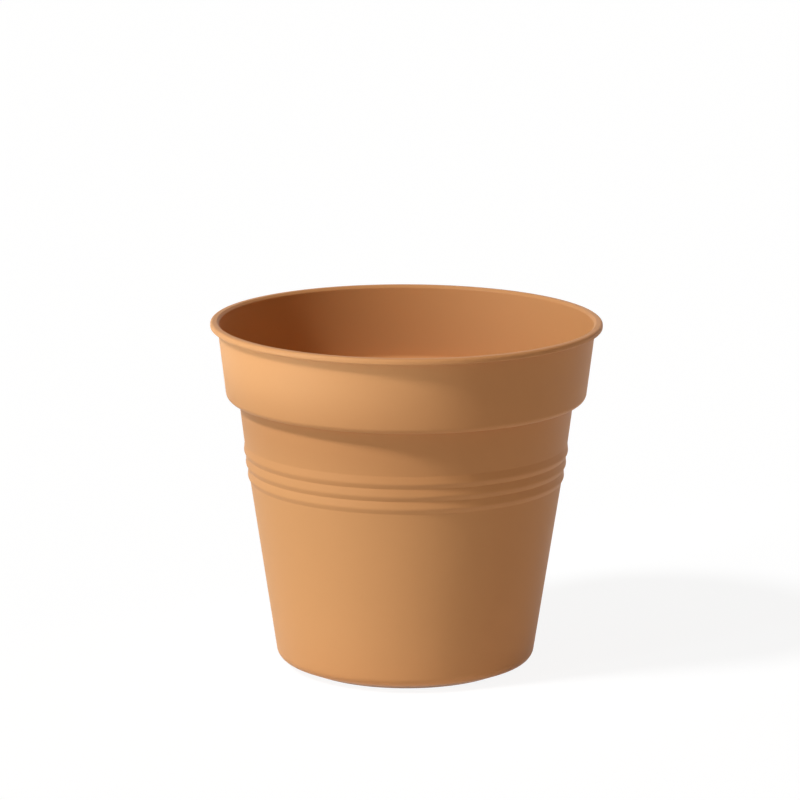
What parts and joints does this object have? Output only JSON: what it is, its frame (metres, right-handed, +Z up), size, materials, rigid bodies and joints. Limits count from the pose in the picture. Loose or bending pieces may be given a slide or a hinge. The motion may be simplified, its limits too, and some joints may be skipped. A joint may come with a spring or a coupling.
{
  "type": "plant pot",
  "caption": "Round tapered plastic plant pot with a wide collar, a rounded lip, fine ribs round the body and a drained, raised floor.",
  "frame": {"origin": "middle of the plane that the foot ring stands on", "axes": "+Z up along the pot's axis; -Y towards the viewer of the picture"},
  "size_m": [0.21, 0.21, 0.1884],
  "materials": {
    "pot_plastic": "fine satin, as moulded"
  },
  "bodies": {
    "root": {"pot": "pot_plastic"}
  },
  "joints": []
}
